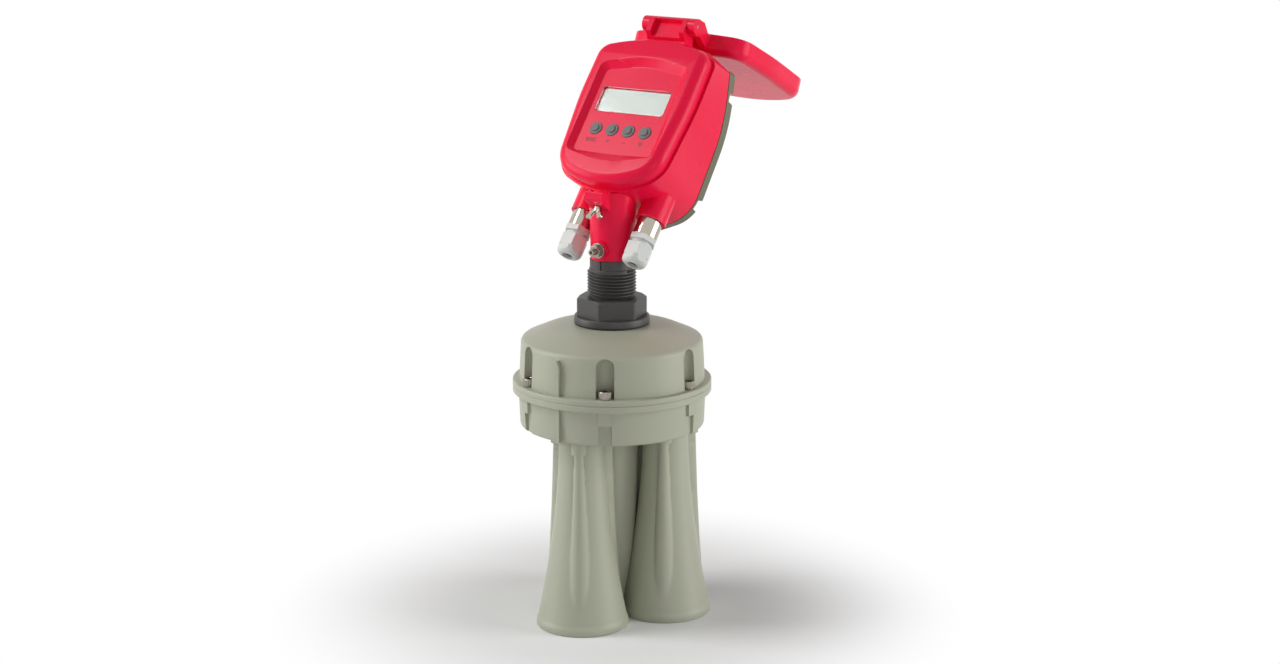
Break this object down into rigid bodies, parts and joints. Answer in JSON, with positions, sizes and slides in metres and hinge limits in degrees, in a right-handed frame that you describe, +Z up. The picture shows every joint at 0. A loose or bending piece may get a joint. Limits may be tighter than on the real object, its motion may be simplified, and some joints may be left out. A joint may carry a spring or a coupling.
{
  "type": "three-dimensional level scanner",
  "caption": "Acoustic volume scanner for silos: display head with flip-up cover on a threaded neck, round antenna drum and flared horns below.",
  "frame": {"origin": "on the drum's axis, in the plane of the horn mouths on which the scanner stands", "axes": "+Z up along the drum's axis, -Y towards the side that the display looks to, +X to the right of someone facing away from the display"},
  "size_m": [0.195, 0.3793, 0.5814],
  "materials": {
    "red_paint": "gloss powder coat",
    "olive_paint": "satin powder coat",
    "drum_plastic": "satin moulded",
    "neck_plastic": "satin moulded",
    "stainless_steel": "satin",
    "nickel_plate": "polished",
    "gland_plastic": "satin moulded",
    "seal_rubber": "matt",
    "key_rubber": "matt",
    "window_plastic": "clear polished",
    "display_glass": "gloss",
    "circuit_board": "solder-mask gloss",
    "driver_metal": "satin",
    "module_plastic": "matt",
    "cable_jacket": "matt"
  },
  "bodies": {
    "scanner": {"head_housing": "red_paint", "rear_cover": "olive_paint", "upper_housing": "drum_plastic", "lower_housing": "drum_plastic", "horn_1": "drum_plastic", "horn_2": "drum_plastic", "horn_3": "drum_plastic", "centre_post": "drum_plastic", "process_neck": "neck_plastic", "neck_locknut": "neck_plastic", "flange_bolts": "stainless_steel", "horn_screws": "stainless_steel", "board_pillars": "stainless_steel", "board_spacers": "stainless_steel", "hinge_pin": "stainless_steel", "rear_screws": "stainless_steel", "ground_stud": "stainless_steel", "ground_washer": "stainless_steel", "ground_nut": "stainless_steel", "key_domes": "stainless_steel", "gland_adapter_left": "nickel_plate", "gland_adapter_right": "nickel_plate", "gland_body_left": "gland_plastic", "gland_body_right": "gland_plastic", "gland_nut_left": "gland_plastic", "gland_nut_right": "gland_plastic", "flange_seal": "seal_rubber", "driver_seal_1": "seal_rubber", "driver_seal_2": "seal_rubber", "driver_seal_3": "seal_rubber", "neck_seal": "seal_rubber", "gland_seal_left": "seal_rubber", "gland_seal_right": "seal_rubber", "rear_gasket": "seal_rubber", "display_window": "window_plastic", "display_module": "display_glass", "signal_board": "circuit_board", "display_board": "circuit_board", "main_board": "circuit_board", "driver_1": "driver_metal", "driver_2": "driver_metal", "driver_3": "driver_metal", "terminal_block": "module_plastic", "supply_module": "module_plastic", "signal_harness": "cable_jacket"},
    "flip_cover": {"flip_cover": "red_paint"},
    "wing_screw": {"wing_screw": "nickel_plate"},
    "key_1": {"key_1": "key_rubber"},
    "key_2": {"key_2": "key_rubber"},
    "key_3": {"key_3": "key_rubber"},
    "key_4": {"key_4": "key_rubber"}
  },
  "joints": [
    {"name": "cover_hinge", "type": "hinge", "parent": "scanner", "child": "flip_cover", "pos_m": [0, 0.10612, 0.57337], "axis": [1, 0, 0], "range_deg": [0, 254]},
    {"name": "key_1_press", "type": "slide", "parent": "scanner", "child": "key_1", "axis": [0, 0.766, -0.6428], "range_m": [0, 0.0008], "stiffness_N_per_m": 400},
    {"name": "key_2_press", "type": "slide", "parent": "scanner", "child": "key_2", "axis": [0, 0.766, -0.6428], "range_m": [0, 0.0008], "stiffness_N_per_m": 400},
    {"name": "key_3_press", "type": "slide", "parent": "scanner", "child": "key_3", "axis": [0, 0.766, -0.6428], "range_m": [0, 0.0008], "stiffness_N_per_m": 400},
    {"name": "key_4_press", "type": "slide", "parent": "scanner", "child": "key_4", "axis": [0, 0.766, -0.6428], "range_m": [0, 0.0008], "stiffness_N_per_m": 400},
    {"name": "wing_screw_turn", "type": "hinge", "parent": "scanner", "child": "wing_screw", "pos_m": [0, -0.02319, 0.41179], "axis": [0, -0.6428, -0.766], "continuous": true}
  ]
}
